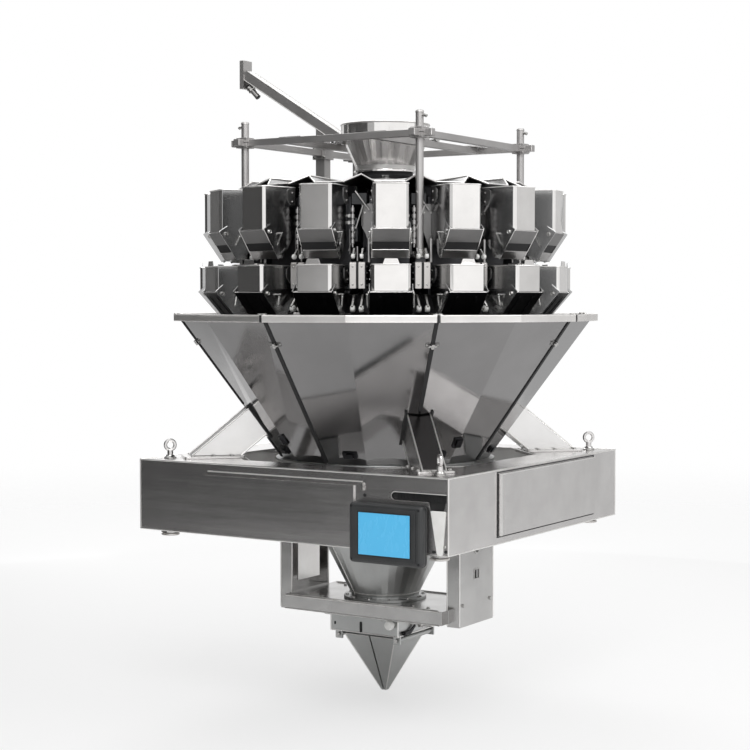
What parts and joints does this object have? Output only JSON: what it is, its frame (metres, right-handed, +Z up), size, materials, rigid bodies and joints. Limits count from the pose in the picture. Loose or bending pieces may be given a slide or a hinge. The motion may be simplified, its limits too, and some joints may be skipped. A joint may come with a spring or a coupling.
{
  "type": "multihead weigher",
  "caption": "Multihead weigher: a ring of feed and weigh hoppers above a faceted collecting chute, on a square frame with a gated timing hopper below.",
  "frame": {"origin": "centre of the underside of the front right foot, the one nearest the screen", "axes": "+Z up, +X to the right of the side with the screen, -Y out of that side"},
  "size_m": [1.3388, 1.3388, 2.065],
  "materials": {
    "steel": "brushed stainless sheet",
    "drive_metal": "blasted stainless castings",
    "sensor_metal": "nickel plated",
    "housing": "fine textured",
    "screen": "smooth touch film"
  },
  "bodies": {
    "machine": {"base_frame": "steel", "screen_housing": "housing", "screen": "screen", "drive_drum": "drive_metal", "feeder_pans": "steel", "top_cone": "steel", "chute_panel_1": "steel", "chute_panel_2": "steel", "chute_panel_3": "steel", "chute_panel_4": "steel", "chute_panel_5": "steel", "chute_panel_6": "steel", "chute_panel_7": "steel", "chute_panel_8": "steel", "leg_1": "steel", "leg_2": "steel", "leg_3": "steel", "leg_4": "steel", "lower_funnel": "steel", "hopper_hanger": "steel", "timing_hopper": "steel", "top_frame": "steel", "infeed_funnel": "steel", "sensor_arm": "steel", "sensor": "sensor_metal", "feed_hopper_01": "steel", "feed_hopper_02": "steel", "feed_hopper_03": "steel", "feed_hopper_04": "steel", "feed_hopper_05": "steel", "feed_hopper_06": "steel", "feed_hopper_07": "steel", "feed_hopper_08": "steel", "feed_hopper_09": "steel", "feed_hopper_10": "steel", "feed_hopper_11": "steel", "feed_hopper_12": "steel", "feed_hopper_13": "steel", "feed_hopper_14": "steel", "feed_hopper_15": "steel", "feed_hopper_16": "steel", "weigh_hopper_01": "steel", "weigh_hopper_02": "steel", "weigh_hopper_03": "steel", "weigh_hopper_04": "steel", "weigh_hopper_05": "steel", "weigh_hopper_06": "steel", "weigh_hopper_07": "steel", "weigh_hopper_08": "steel", "weigh_hopper_09": "steel", "weigh_hopper_10": "steel", "weigh_hopper_11": "steel", "weigh_hopper_12": "steel", "weigh_hopper_13": "steel", "weigh_hopper_14": "steel", "weigh_hopper_15": "steel", "weigh_hopper_16": "steel"},
    "gate_1": {"timing_gate_1": "steel"},
    "gate_2": {"timing_gate_2": "steel"}
  },
  "joints": [
    {"name": "gate_1_hinge", "type": "hinge", "parent": "machine", "child": "gate_1", "pos_m": [-0.592, 0.484, -0.334], "axis": [0, 1, 0], "range_deg": [0, 50]},
    {"name": "gate_2_hinge", "type": "hinge", "parent": "machine", "child": "gate_2", "pos_m": [-0.376, 0.484, -0.334], "axis": [0, 1, 0], "range_deg": [-50, 0]}
  ],
  "couplings": [
    {"joint": "gate_2_hinge", "follows": "gate_1_hinge", "ratio": -1}
  ]
}
